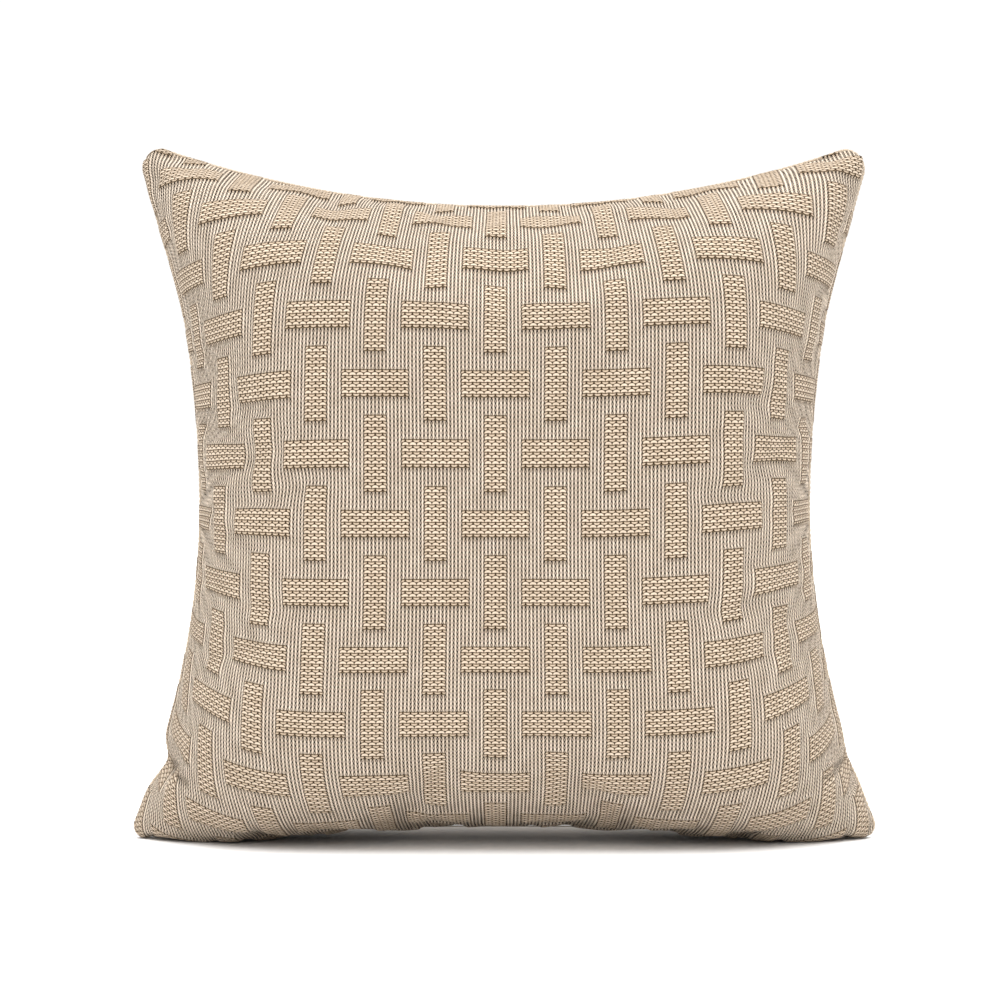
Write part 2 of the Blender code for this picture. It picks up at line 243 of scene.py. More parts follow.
def pillow_form(across, up):
    """Points of the front panel's outer face, closing on the seam plane, in millimetres."""
    edge = CENTRE_HEIGHT + up * np.where(up > 0, CORNER_HEIGHT - CENTRE_HEIGHT, CENTRE_HEIGHT)
    above = np.maximum(0.0, edge - WAIST_HEIGHT) / (CORNER_HEIGHT - WAIST_HEIGHT)
    below = np.maximum(0.0, WAIST_HEIGHT - edge) / WAIST_HEIGHT
    half_width = SIDE_HALF_WIDTH + TOP_FLARE * above ** 2 + BOTTOM_FLARE * below ** 2
    x = half_width * reach(across, up)
    rise = reach(up, across)
    top = TOP_MIDDLE + TOP_RISE * np.abs(across) ** TOP_POWER
    low = bottom_arch(LOW_HALF_WIDTH * across)
    low = low - LOW_BULGE * (1.0 - smooth_step(*LOW_BULGE_FADE, np.abs(across)))
    z = CENTRE_HEIGHT + rise * np.where(up > 0, top - CENTRE_HEIGHT, CENTRE_HEIGHT - low)
    z = np.where(up < 0, np.maximum(z, bottom_arch(x)), z)
    hem = HEM_HEIGHT * (1.0 - smooth_step(*HEM_FADE, np.abs(across)))
    z = z + np.maximum(0.0, hem - bottom_arch(x)) * smooth_step(*HEM_TUCK, -up)
    full = shared_fullness(fullness(across), fullness(up))
    full = np.where(np.maximum(np.abs(across), np.abs(up)) >= 1.0, 0.0, full)
    return np.stack([x, -HALF_DEPTH * full, z], axis=-1)


def new_object(name, mesh):
    piece = bpy.data.objects.new(name, mesh)
    bpy.context.scene.collection.objects.link(piece)
    return piece


def grid_shares():
    """Shares of the grid's points, up the panel and across it."""
    across = np.linspace(-1.0, 1.0, ACROSS + 1)
    up = np.linspace(-1.0, 1.0, UPWARD + 1)
    across = across * (1.0 - CENTRE_PACK * (1.0 - across ** 2))
    up = up * (1.0 - CENTRE_PACK * (1.0 - up ** 2))
    return np.meshgrid(across, up)


def relaxed_casing(front):
    """Both panels sewn at the edge and blown up a little as cloth: the two sheets of points."""
    rows, columns = front.shape[:2]
    back = front * np.array([1.0, -1.0, 1.0])
    border = np.zeros((rows, columns), bool)
    border[0, :] = border[-1, :] = border[:, 0] = border[:, -1] = True
    index_front = np.arange(rows * columns).reshape(rows, columns)
    index_back = index_front.copy()
    inner = ~border
    index_back[inner] = rows * columns + np.arange(inner.sum())
    points = np.concatenate([front.reshape(-1, 3), back[inner]]) * MM
    faces = quads(index_front, False).tolist() + quads(index_back, True).tolist()
    mesh = bpy.data.meshes.new("casing")
    mesh.from_pydata(points.tolist(), [], faces)
    casing = new_object("casing", mesh)
    group = casing.vertex_groups.new(name="held")
    group.add(index_front[border].tolist(), 1.0, "REPLACE")
    cloth = casing.modifiers.new("Cloth", "CLOTH")
    settings = cloth.settings
    settings.quality = 6
    settings.mass = 0.3
    settings.tension_stiffness = settings.compression_stiffness = 20.0
    settings.shear_stiffness = 5.0
    settings.bending_stiffness = 0.3
    settings.air_damping = 2.0
    settings.use_pressure = True
    settings.uniform_pressure_force = 4.0
    settings.effector_weights.gravity = 0.0
    settings.vertex_group_mass = "held"
    settings.pin_stiffness = 3.0
    settings.shrink_min = SHRINK
    cloth.collision_settings.use_collision = False
    cloth.point_cache.frame_start = 1
    cloth.point_cache.frame_end = CLOTH_FRAMES
    scene = bpy.context.scene
    for frame_number in range(1, CLOTH_FRAMES + 1):
        scene.frame_set(frame_number)
    graph = bpy.context.evaluated_depsgraph_get()
    moved = casing.evaluated_get(graph).to_mesh()
    after = np.zeros(len(points) * 3)
    moved.vertices.foreach_get("co", after)
    shift = after.reshape(-1, 3) - points
    length = np.linalg.norm(shift, axis=1, keepdims=True)
    shift *= np.minimum(1.0, MOST_MOVE * MM / np.maximum(length, 1e-9))
    after = (points + shift) / MM
    scene.frame_set(1)
    bpy.data.objects.remove(casing)
    return after[index_front], after[index_back]


def creased(points):
    """The ears pulled out, and the fold above each lower corner with the filling bulging over it."""
    x, y, z = points[:, 0].copy(), points[:, 1].copy(), points[:, 2].copy()
    for side, out in EARS:
        high = smooth_step(*EAR_HEIGHTS, z) * smooth_step(*EAR_WIDTHS, side * x)
        points[:, 0] += side * out * high
    for fold in FOLDS:
        side = np.sign(fold.start_x)
        way = np.array([fold.end_x - fold.start_x, fold.end_z - fold.start_z])
        length = np.linalg.norm(way)
        way = way / length
        along = ((x - fold.start_x) * way[0] + (z - fold.start_z) * way[1]) / length
        off = (x - fold.start_x) * -way[1] * -side + (z - fold.start_z) * abs(way[0])
        fade = smooth_step(-0.9, 0.0, along) * (1.0 - smooth_step(0.35, 1.5, along))
        groove = np.exp(-(off / GROOVE_WIDTH) ** 2) * fade
        over = np.exp(-((off - BULGE_ABOVE) / BULGE_WIDTH) ** 2) * fade
        deep = np.minimum(np.abs(y) * GROOVE_SHARE, fold.deep)
        points[:, 1] -= np.sign(y) * deep * groove
        points[:, 1] += np.sign(y) * fold.bulge * over * np.minimum(1.0, np.abs(y) / BULGE_DEPTH)
        edge = 1.0 - smooth_step(-0.2, 0.6, along)
        drawn = np.exp(-((z - fold.start_z - NOTCH_ABOVE) / NOTCH_HEIGHT) ** 2)
        points[:, 0] -= side * fold.notch * drawn * edge
        points[:, 2] -= BULGE_SAG * over * smooth_step(-0.6, 0.2, along)
    return points


def corner_arcs(sheet):
    """For each corner of a panel: its arc's centre, the way out to the tip, radius and half angle."""
    arcs = []
    for (row, column), radius in CORNER_RADII.items():
        in_row = CORNER_STEPS if row == 0 else -1 - CORNER_STEPS
        in_column = CORNER_STEPS if column == 0 else -1 - CORNER_STEPS
        three = creased(np.array([sheet[row, column], sheet[row, in_column], sheet[in_row, column]]))
        tip = three[0, [0, 2]]
        ways = three[1:][:, [0, 2]] - tip
        ways /= np.linalg.norm(ways, axis=1, keepdims=True)
        way = ways.sum(axis=0)
        way /= np.linalg.norm(way)
        half = 0.5 * math.acos(float(ways[0] @ ways[1]))
        arcs.append((tip + way * radius / math.sin(half), -way, radius, half))
    return arcs


def shaped(points, arcs):
    """The folds and ears, then each corner drawn back onto its arc."""
    points = creased(points)
    for centre, way, radius, half in arcs:
        off = points[:, [0, 2]] - centre
        far = np.maximum(np.linalg.norm(off, axis=1), 1e-9)
        beyond = (far > radius) & (off @ way / far > math.sin(half)) & (far < 3.0 * radius)
        scale = np.where(beyond, radius / far, 1.0)
        points[:, 0] = centre[0] + off[:, 0] * scale
        points[:, 2] = centre[1] + off[:, 1] * scale
    return points


def open_hem(sheet, across, up):
    """Parts the two hems along the zip and keeps the panels just off the seam plane."""
    side = np.sign(sheet[UPWARD // 2, ACROSS // 2, 1])
    slot = (1.0 - smooth_step(*SLOT_FADE, np.abs(across))) * smooth_step(*SLOT_TUCK, -up)
    least = PANEL_GAP + (ZIP_SLOT - PANEL_GAP) * slot
    sheet[..., 1] = side * np.sqrt(sheet[..., 1] ** 2 + least ** 2)
    return sheet


def knit_place(u, v):
    """Where shares of the panel lie in the knit, which its filling pulls a little off square."""
    corner = np.abs(u * v)
    left, top = u < 0, v > 0
    middle = 1.0 - smooth_step(0.15, 0.75, np.abs(u))
    # Blocks crowd together towards the corners, least at the top right.
    wider_left = 0.11 * smooth_step(0.0, 0.5, corner)
    wider_right = 0.045 * smooth_step(0.0, 0.4, corner) - 0.04 * smooth_step(0.5, 0.8, corner)
    wider = np.where(top, np.where(left, wider_left, wider_right), 0.113 * corner)
    # Rows crowd together near the top and bottom edges.
    top_corner = np.where(left, 0.16 * corner ** 2.6, 0.09 * corner ** 2)
    top_taller = 0.030 * smooth_step(0.30, 0.72, v) * (1.0 - middle) + top_corner
    low_taller = 0.047 * smooth_step(0.15, 0.60, -v) + 0.03 * corner
    taller = np.where(top, top_taller, low_taller)
    # Rows lie a little higher above the middle and on the right.
    raised = 0.013 * smooth_step(0.0, 0.30, v) * middle + 0.02 * smooth_step(0.20, 0.75, u)
    return MAP_SPREAD * u * (1.0 + wider) + MAP_SHIFT, v * (1.0 + taller) - raised


def quads(index, turn):
    """The grid's faces as rows of four point numbers, turned over if asked."""
    ring = np.stack([index[:-1, :-1], index[:-1, 1:], index[1:, 1:], index[1:, :-1]], -1)
    ring = ring.reshape(-1, 4)
    return ring[:, ::-1] if turn else ring


def panel_mesh(name, sheet):
    """A quad sheet with its knit map, facing out, and its lower hem turned in."""
    side = np.sign(sheet[UPWARD // 2, ACROSS // 2, 1])
    turned = []
    for lift, inward, shorter, _ in HEM_ROWS:
        row = sheet[0].copy()
        row[:, 2] += lift
        row[:, 1] += side * inward
        row[:, 0] *= 1.0 - shorter
        turned.append(row)
    full = np.concatenate([np.stack(turned), sheet])
    rows, columns = full.shape[:2]
    heights = np.concatenate([[-down for *_, down in HEM_ROWS], np.linspace(-1.0, 1.0, UPWARD + 1)])
    u, v = np.meshgrid(np.linspace(-1.0, 1.0, ACROSS + 1), heights)
    u, v = (0.5 + MAP_HALF * share for share in knit_place(u, v))
    ring = quads(np.arange(rows * columns).reshape(rows, columns), side > 0)
    mesh = bpy.data.meshes.new(name)
    mesh.from_pydata((full.reshape(-1, 3) * MM).tolist(), [], ring.tolist())
    layer = mesh.uv_layers.new(name="UVMap")
    flat = np.stack([u.reshape(-1), v.reshape(-1)], -1)[ring.reshape(-1)]
    layer.data.foreach_set("uv", flat.reshape(-1))
    mesh.shade_smooth()
    return mesh


class Wire:
    """A socket that builds maths nodes from ordinary operators, in a shader or geometry tree."""

    def __init__(self, tree, socket):
        self.tree, self.socket = tree, socket

    def math(self, kind, *others):
        node = self.tree.nodes.new("ShaderNodeMath")
        node.operation = kind
        for slot, value in zip(node.inputs, (self, *others)):
            if isinstance(value, Wire):
                self.tree.links.new(value.socket, slot)
            else:
                slot.default_value = float(value)
        return Wire(self.tree, node.outputs[0])

    def __add__(self, other):
        return self.math("ADD", other)

    def __sub__(self, other):
        return self.math("SUBTRACT", other)

    def __mul__(self, other):
        return self.math("MULTIPLY", other)

    def __rsub__(self, other):
        return -(self - other)

    def __neg__(self):
        return self.math("MULTIPLY", -1.0)

    def __truediv__(self, other):
        return self.math("DIVIDE", other)

    def floor(self):
        return self.math("FLOOR")

    def abs(self):
        return self.math("ABSOLUTE")

    def root(self):
        return self.math("SQRT")

    def cos(self):
        return self.math("COSINE")

    def sin(self):
        return self.math("SINE")

    def mod(self, other):
        return self.math("FLOORED_MODULO", other)

    def max(self, other):
        return self.math("MAXIMUM", other)

    def min(self, other):
        return self.math("MINIMUM", other)

    def power(self, other):
        return self.math("POWER", other)

    def wrap(self, half):
        """This value brought between -half and half."""
        return self.math("WRAP", half, -half)

    def above(self, low, high):
        """0 below low, 1 above high, smooth between."""
        node = self.tree.nodes.new("ShaderNodeMapRange")
        node.interpolation_type = "SMOOTHSTEP"
        self.tree.links.new(self.socket, node.inputs["Value"])
        node.inputs["From Min"].default_value = low
        node.inputs["From Max"].default_value = high
        return Wire(self.tree, node.outputs[0])

    def mix(self, other, share):
        """This value where share is 0 and the other where it is 1."""
        return self + (other - self) * share


def tree_with(kind, name, inputs, outputs):
    """A new node group with named inputs and outputs: the group, its inputs and its end node."""
    tree = bpy.data.node_groups.new(name, kind)
    for label, socket_type, value in inputs:
        socket = tree.interface.new_socket(label, in_out="INPUT", socket_type=socket_type)
        if value is not None:
            socket.default_value = value
    for label, socket_type in outputs:
        tree.interface.new_socket(label, in_out="OUTPUT", socket_type=socket_type)
    start = tree.nodes.new("NodeGroupInput")
    end = tree.nodes.new("NodeGroupOutput")
    return tree, {s.name: Wire(tree, s) for s in start.outputs if s.name}, end


def finish_group(tree, end, results):
    for label, wire in results.items():
        tree.links.new(wire.socket, end.inputs[label])
    return tree


def use_group(tree, group, values):
    """A shader group's outputs by name, with its inputs set or linked by name."""
    node = tree.nodes.new("ShaderNodeGroup")
    node.node_tree = group
    for label, value in values.items():
        if isinstance(value, Wire):
            tree.links.new(value.socket, node.inputs[label])
        else:
            node.inputs[label].default_value = value
    return {output.name: Wire(tree, output) for output in node.outputs}


def parts_of(wire):
    """The three numbers in a vector."""
    split = wire.tree.nodes.new("ShaderNodeSeparateXYZ")
    wire.tree.links.new(wire.socket, split.inputs[0])
    return [Wire(wire.tree, output) for output in split.outputs]


def bean(across, up, bow, thick, wide):
    """Height of one short arc of yarn, 0 outside it."""
    off = (up + (across * across * 0.95 - 0.07) * bow) / thick
    side = across / wide
    side = side * side
    return (-(off * off + side * side - 1.0)).max(0.0).root()


def plain_stitches(inside, course):
    """Height of slanted legs, with staggered gaps at the middle and the edge of each wale."""
    lean = inside.abs()
    ridge = (lean - 0.25).abs() * 4.0
    swing = (((course - lean * LEG_LEAN) * (2.0 * math.pi)).cos() * 0.5 + 0.51).min(1.0)
    depth = ridge * (ridge * 0.72 + 0.43)
    legs = 1.0 - depth * (GAP_DEPTH - swing * GAP_DEPTH)
    return legs * (swing * LEG_SWELL + (1.0 - LEG_SWELL))


def block_parts(across, up, half_across, half_up, inside, between):
    """A kind of block from the way to its middle: mask, soft-edged height, yarn arcs and shadow."""
    purl = up * PURL_PER_COURSE
    beside = half_across - across.abs()
    mask = beside.above(-0.10, 0.10) * (half_up - purl.abs()).above(-0.10, 0.10)
    top = (half_up - purl).above(-0.75, 0.15)
    bottom = (purl + half_up).above(-0.30, 0.20)
    # The arcs of yarn lie over one another like bricks.
    over = bean(inside, purl.mod(1.0) - 0.5, 1.0, *OVER_ARC)
    under = bean(between, (purl + 0.5).mod(1.0) - 0.5, -1.0, *UNDER_ARC) * UNDER_HEIGHT
    low = (purl + half_up).above(-1.0, -0.15) * (-(purl + half_up)).above(-0.25, 0.05)
    return (mask, beside.above(-0.50, 0.25) * top * bottom, over.max(under) * mask,
            low * beside.above(-0.35, 0.05))


def knit_height(wale, course):
    """Block mask, soft-edged block height, stitch relief 0-1 and the shadow line under a block."""
    # Where this place lies from the nearest wide block and the nearest tall block.
    row = (course / CELL_COURSES + 0.5).floor()
    up_wide = course - row * CELL_COURSES
    side_wide = (wale - row.mod(2.0) * CELL_WALES).wrap(CELL_WALES)
    column = (wale / CELL_WALES + 0.5).floor()
    side_tall = wale - column * CELL_WALES
    up_tall = (course - (column + 1.0).mod(2.0) * CELL_COURSES).wrap(CELL_COURSES)
    inside = (wale + 0.5).mod(1.0) - 0.5
    between = wale.mod(1.0) - 0.5
    legs = plain_stitches(inside, course)
    wide = block_parts(side_wide, up_wide, *WIDE_BLOCK, inside, between)
    tall = block_parts(side_tall, up_tall, *TALL_BLOCK, inside, between)
    block, edge, wave, shade = (one.max(other) for one, other in zip(wide, tall))
    return block, edge, legs.mix(wave, block), shade


@functools.cache
def knit_tree(kind):
    """The knit's maths as a node group, for relief in one kind of tree and for looks in the other."""
    tree, given, end = tree_with(
        kind, "knit_form" if kind == "GeometryNodeTree" else "knit_look",
        [("Map", "NodeSocketVector", None)],
        [("Block", "NodeSocketFloat"), ("Edge", "NodeSocketFloat"), ("Stitch", "NodeSocketFloat"),
         ("Shade", "NodeSocketFloat")])
    across, up, _ = parts_of(given["Map"])
    wale = (across - 0.5) * (WALES / (2.0 * MAP_HALF))
    course = (up - 0.5) * (COURSES / (2.0 * MAP_HALF))
    block, edge, stitch, shade = knit_height(wale, course)
    return finish_group(tree, end, {"Block": block, "Edge": edge, "Stitch": stitch, "Shade": shade})


def relief_tree(material):
    """Geometry Nodes: pushes the panel out along its normal by the knit's height."""
    tree, given, end = tree_with(
        "GeometryNodeTree", "knit_relief",
        [("Geometry", "NodeSocketGeometry", None), ("Block height", "NodeSocketFloat", BLOCK_RISE * MM),
         ("Stitch height", "NodeSocketFloat", STITCH_RISE * MM),
         ("Unevenness", "NodeSocketFloat", UNEVENNESS * MM)],
        [("Geometry", "NodeSocketGeometry")])
    nodes, links = tree.nodes, tree.links
    named = nodes.new("GeometryNodeInputNamedAttribute")
    named.data_type = "FLOAT_VECTOR"
    named.inputs["Name"].default_value = "UVMap"
    knit = nodes.new("GeometryNodeGroup")
    knit.node_tree = knit_tree("GeometryNodeTree")
    links.new(named.outputs["Attribute"], knit.inputs["Map"])
    block = Wire(tree, knit.outputs["Edge"]) * given["Block height"]
    stitch = (Wire(tree, knit.outputs["Stitch"]) - STITCH_LEVEL) * given["Stitch height"]
    noise = nodes.new("ShaderNodeTexNoise")
    noise.inputs["Scale"].default_value = 60.0
    noise.inputs["Detail"].default_value = 2.0
    uneven = (Wire(tree, noise.outputs["Fac"]) - 0.5) * given["Unevenness"] * 2.0
    total = block + stitch + uneven
    normal = nodes.new("GeometryNodeInputNormal")
    scale = nodes.new("ShaderNodeVectorMath")
    scale.operation = "SCALE"
    links.new(normal.outputs[0], scale.inputs[0])
    links.new(total.socket, scale.inputs["Scale"])
    place = nodes.new("GeometryNodeSetPosition")
    links.new(given["Geometry"].socket, place.inputs["Geometry"])
    links.new(scale.outputs[0], place.inputs["Offset"])
    real = nodes.new("GeometryNodeRealizeInstances")
    links.new(place.outputs[0], real.inputs[0])
    coat = nodes.new("GeometryNodeSetMaterial")
    coat.inputs["Material"].default_value = material
    links.new(real.outputs[0], coat.inputs["Geometry"])
    links.new(coat.outputs[0], end.inputs["Geometry"])
    return tree


def plain_mesh(piece, name):
    """Applies a piece's modifiers and leaves one plain mesh object."""
    graph = bpy.context.evaluated_depsgraph_get()
    mesh = bpy.data.meshes.new_from_object(piece.evaluated_get(graph))
    bpy.data.objects.remove(piece)
    mesh.name = name
    return new_object(name, mesh)


def shader_material(name, rough, specular=0.5, sheen=0.0):
    material = bpy.data.materials.new(name)
    material.use_nodes = True
    tree = material.node_tree
    shader = tree.nodes["Principled BSDF"]
    shader.inputs["Roughness"].default_value = rough
    shader.inputs["Specular IOR Level"].default_value = specular
    shader.inputs["Sheen Weight"].default_value = sheen
    return material, tree, shader


def coloured(tree, shader, share, dark, light):
    """Base colour between two constants by a share."""
    mix = tree.nodes.new("ShaderNodeMix")
    mix.data_type = "RGBA"
    mix.inputs["A"].default_value = (*dark, 1.0)
    mix.inputs["B"].default_value = (*light, 1.0)
    tree.links.new(share.socket, mix.inputs["Factor"])
    tree.links.new(mix.outputs["Result"], shader.inputs["Base Color"])


def bumped(tree, shader, height, distance):
    bump = tree.nodes.new("ShaderNodeBump")
    bump.inputs["Distance"].default_value = distance
    tree.links.new(height.socket, bump.inputs["Height"])
    tree.links.new(bump.outputs[0], shader.inputs["Normal"])


def toned(colour, share):
    """A colour made darker or lighter, kept under 1."""
    return [min(1.0, channel * share) for channel in colour]


@functools.cache
def grain_group():
    """Unevenness fixed to a piece: an amount from 0 to 1, and the place it is for."""
    tree, given, end = tree_with(
        "ShaderNodeTree", "grain",
        [("Scale", "NodeSocketFloat", 500.0), ("Detail", "NodeSocketFloat", 4.0)],
        [("Amount", "NodeSocketFloat"), ("Place", "NodeSocketVector")])
    where = tree.nodes.new("ShaderNodeTexCoord")
    noise = tree.nodes.new("ShaderNodeTexNoise")
    tree.links.new(where.outputs["Object"], noise.inputs["Vector"])
    for label in ("Scale", "Detail"):
        tree.links.new(given[label].socket, noise.inputs[label])
    return finish_group(tree, end, {"Amount": Wire(tree, noise.outputs["Fac"]),
                                    "Place": Wire(tree, where.outputs["Object"])})


def grain(tree, scale, detail=4.0):
    return use_group(tree, grain_group(), {"Scale": scale, "Detail": detail})


@functools.cache
def weave_group():
    """Plain weave: threads over and under, with a little slub. Turn is half a turn per thread."""
    tree, given, end = tree_with(
        "ShaderNodeTree", "weave", [("Turn", "NodeSocketFloat", 1.0)],
        [("Lightness", "NodeSocketFloat"), ("Height", "NodeSocketFloat")])
    slub = grain(tree, 500.0)
    x, y, z = parts_of(slub["Place"])
    over = (x * given["Turn"]).sin() * ((y + z) * given["Turn"]).sin()
    return finish_group(tree, end, {"Lightness": over * 0.22 + slub["Amount"] * 0.5 + 0.2,
                                    "Height": over + slub["Amount"] * 0.4})


@functools.cache
def twist_group():
    """Twisted thread or ribbed satin: slanted lines along the piece. Turn is a whole turn per line."""
    tree, given, end = tree_with(
        "ShaderNodeTree", "twist", [("Turn", "NodeSocketFloat", 1.0)],
        [("Lightness", "NodeSocketFloat"), ("Height", "NodeSocketFloat")])
    slub = grain(tree, 900.0)
    x, y, z = parts_of(slub["Place"])
    twist = ((x + z * 0.6 + y * 0.6) * given["Turn"]).sin() * 0.5 + 0.5
    return finish_group(tree, end, {"Lightness": twist * 0.6 + slub["Amount"] * 0.4, "Height": twist})


def knit_material(name, light):
    """Chunky knit yarn: fuzz, painted shade in the gaps, on the blocks and under them, and small
    changes of tone.
    """
    material, tree, shader = shader_material(name, rough=0.9, specular=0.10, sheen=0.06)
    place = tree.nodes.new("ShaderNodeUVMap")
    place.uv_map = "UVMap"
    knit = use_group(tree, knit_tree("ShaderNodeTree"), {"Map": Wire(tree, place.outputs[0])})
    fuzz = grain(tree, 1400.0, 3.0)["Amount"]
    patch = grain(tree, 110.0, 2.0)["Amount"]
    # Painted shade: the base colour darkens into the gaps between stitches, a little on each block, and
    # in a painted shadow under each block, in place of the shading the relief would cast.
    lit = (knit["Stitch"] - knit["Shade"] * UNDER_SHADE).above(0.05, 0.92)
    shade_and_tone = (lit * 0.93 + 0.07).power(GAP_SHADE_STEEPNESS)
    shade_and_tone = shade_and_tone * (1.0 - knit["Block"] * BLOCK_SHADE)
    shade_and_tone = shade_and_tone * ((patch - 0.5) * PATCH_TONE + 1.0)
    shade_and_tone = shade_and_tone * ((fuzz - 0.5) * FUZZ_TONE + 1.0)
    colour = tree.nodes.new("ShaderNodeCombineColor")
    for channel, full, fall in zip(colour.inputs, light, SHADE_HUE_FALL):
        tree.links.new((shade_and_tone.max(0.01).power(fall) * full).min(0.95).socket, channel)
    tree.links.new(colour.outputs[0], shader.inputs["Base Color"])
    bumped(tree, shader, knit["Stitch"] + (fuzz - 0.5) * FUZZ_BUMP, STITCH_BUMP * MM)
    return material


def yarn_material(name, colour):
    """Spun yarn: fuzz and a soft sheen."""
    material, tree, shader = shader_material(name, rough=0.85, specular=0.25, sheen=0.25)
    fuzz = grain(tree, 900.0)["Amount"]
    coloured(tree, shader, fuzz, toned(colour, 0.62), toned(colour, 1.18))
    bumped(tree, shader, fuzz, 0.2 * MM)
    return material


def woven_material(name, colour, pitch):
    """Plain weave of threads at a pitch."""
    material, tree, shader = shader_material(name, rough=0.9, specular=0.3)
    weave = use_group(tree, weave_group(), {"Turn": math.pi / pitch})
    coloured(tree, shader, weave["Lightness"], toned(colour, 0.6), toned(colour, 1.15))
    bumped(tree, shader, weave["Height"], pitch * 0.2)
    return material


def thread_material(name, colour, pitch):
    """Twisted thread or ribbed satin with its lines at a pitch."""
    material, tree, shader = shader_material(name, rough=0.5, sheen=0.2)
    twist = use_group(tree, twist_group(), {"Turn": 2.0 * math.pi / pitch})
    coloured(tree, shader, twist["Lightness"], toned(colour, 0.62), toned(colour, 1.12))
    bumped(tree, shader, twist["Height"], pitch * 0.25)
    return material


def metal_material(name):
    """Nickel-coloured die casting, slightly rubbed."""
    material, tree, shader = shader_material(name, rough=0.35)
    rub = grain(tree, 350.0)["Amount"]
    coloured(tree, shader, rub, (0.42, 0.40, 0.37), (0.66, 0.64, 0.60))
    bumped(tree, shader, rub, 0.03 * MM)
    tree.links.new((rub * 0.25 + 0.22).socket, shader.inputs["Roughness"])
    shader.inputs["Metallic"].default_value = 1.0
    return material


def fibre_material(name, colour):
    """Matted polyester fibre."""
    material, tree, shader = shader_material(name, rough=1.0)
    clump = grain(tree, 120.0)["Amount"]
    coloured(tree, shader, clump, toned(colour, 0.7), colour)
    bumped(tree, shader, clump, 3.0 * MM)
    return material


def add_modifier_tree(piece, tree, values):
    modifier = piece.modifiers.new("Relief", "NODES")
    modifier.node_group = tree
    for item in tree.interface.items_tree:
        if item.item_type == "SOCKET" and item.in_out == "INPUT" and item.name in values:
            modifier[item.identifier] = values[item.name]


def read_points(piece):
    """A piece's points, in metres."""
    points = np.zeros(len(piece.data.vertices) * 3)
    piece.data.vertices.foreach_get("co", points)
    return points.reshape(-1, 3)


def write_points(piece, points):
    piece.data.vertices.foreach_set("co", points.reshape(-1))
    piece.data.update()


def make_panel(label, sheet, arcs):
    """One knitted panel: its sheet made finer, folded and rounded, then raised into stitches."""
    piece = new_object(f"panel_{label}", panel_mesh(f"knit_{label}", sheet))
    finer = piece.modifiers.new("Finer", "SUBSURF")
    finer.levels = finer.render_levels = FINER[label]
    finer.uv_smooth = "NONE"
    finer.boundary_smooth = "PRESERVE_CORNERS"
    piece = plain_mesh(piece, f"fine_{label}")
    write_points(piece, shaped(read_points(piece) / MM, arcs) * MM)
    add_modifier_tree(piece, relief_tree(knit_material(f"knit_{label}", YARN)), {})
    piece = plain_mesh(piece, f"knit_panel_{label}")
    points = read_points(piece)
    points[:, 2] = np.maximum(points[:, 2], 0.0)
    write_points(piece, points)
    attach(piece, "cover")
    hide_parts(f"cover_{label}")


def make_cover():
    """Both knitted panels and the linked edge that joins them."""
    across, up = grid_shares()
    form = pillow_form(across, up)
    front, back = relaxed_casing(form)
    arcs = corner_arcs(front)
    for label, sheet in (("front", front), ("back", back)):
        make_panel(label, open_hem(sheet, across, up), arcs)
    make_edge(edge_points(front), arcs)


def edge_points(sheet):
    """The panel's edge, up one side, along the top and down the other, and the ends of the bottom."""
    keep = int(round(ACROSS * EDGE_BOTTOM_SHARE))
    bottom_left = sheet[0, keep::-1]
    bottom_right = sheet[0, :-keep - 2:-1]
    return np.concatenate([bottom_left, sheet[1:, 0], sheet[-1, 1:], sheet[-2::-1, -1],
                           bottom_right[1:]])


def evenly(line, step):
    """The same line with points evenly spaced."""
    gaps = np.linalg.norm(np.diff(line, axis=0), axis=1)
    far = np.concatenate([[0.0], np.cumsum(gaps)])
    marks = np.linspace(0.0, far[-1], int(round(far[-1] / step)) + 1)
    return np.stack([np.interp(marks, far, line[:, i]) for i in range(3)], -1)


def stitches_tree(material):
    """Geometry Nodes: one bead of yarn after another along a line."""
    tree, given, end = tree_with(
        "GeometryNodeTree", "linked_stitches",
        [("Geometry", "NodeSocketGeometry", None), ("Spacing", "NodeSocketFloat", 4.2 * MM),
         ("Thickness", "NodeSocketFloat", 1.2 * MM), ("Across", "NodeSocketFloat", 1.3),
         ("Along", "NodeSocketFloat", 1.9)],
        [("Geometry", "NodeSocketGeometry")])
    nodes, links = tree.nodes, tree.links
    line = nodes.new("GeometryNodeMeshToCurve")
    links.new(given["Geometry"].socket, line.inputs["Mesh"])
    marks = nodes.new("GeometryNodeResampleCurve")
    marks.mode = "LENGTH"
    links.new(line.outputs[0], marks.inputs["Curve"])
    links.new(given["Spacing"].socket, marks.inputs["Length"])
    points = nodes.new("GeometryNodeCurveToPoints")
    points.mode = "EVALUATED"
    links.new(marks.outputs[0], points.inputs["Curve"])
    bead = nodes.new("GeometryNodeMeshUVSphere")
    bead.inputs["Segments"].default_value = 10
    bead.inputs["Rings"].default_value = 8
    links.new(given["Thickness"].socket, bead.inputs["Radius"])
    smooth = nodes.new("GeometryNodeSetShadeSmooth")
    links.new(bead.outputs[0], smooth.inputs["Geometry"])
    size = nodes.new("ShaderNodeCombineXYZ")
    size.inputs[1].default_value = 1.0
    links.new(given["Across"].socket, size.inputs[0])
    links.new(given["Along"].socket, size.inputs[2])
    put = nodes.new("GeometryNodeInstanceOnPoints")
    links.new(points.outputs["Points"], put.inputs["Points"])
    links.new(smooth.outputs[0], put.inputs["Instance"])
    links.new(points.outputs["Rotation"], put.inputs["Rotation"])
    links.new(size.outputs[0], put.inputs["Scale"])
    real = nodes.new("GeometryNodeRealizeInstances")
    links.new(put.outputs[0], real.inputs[0])
    coat = nodes.new("GeometryNodeSetMaterial")
    coat.inputs["Material"].default_value = material
    links.new(real.outputs[0], coat.inputs["Geometry"])
    links.new(coat.outputs[0], end.inputs["Geometry"])
    return tree


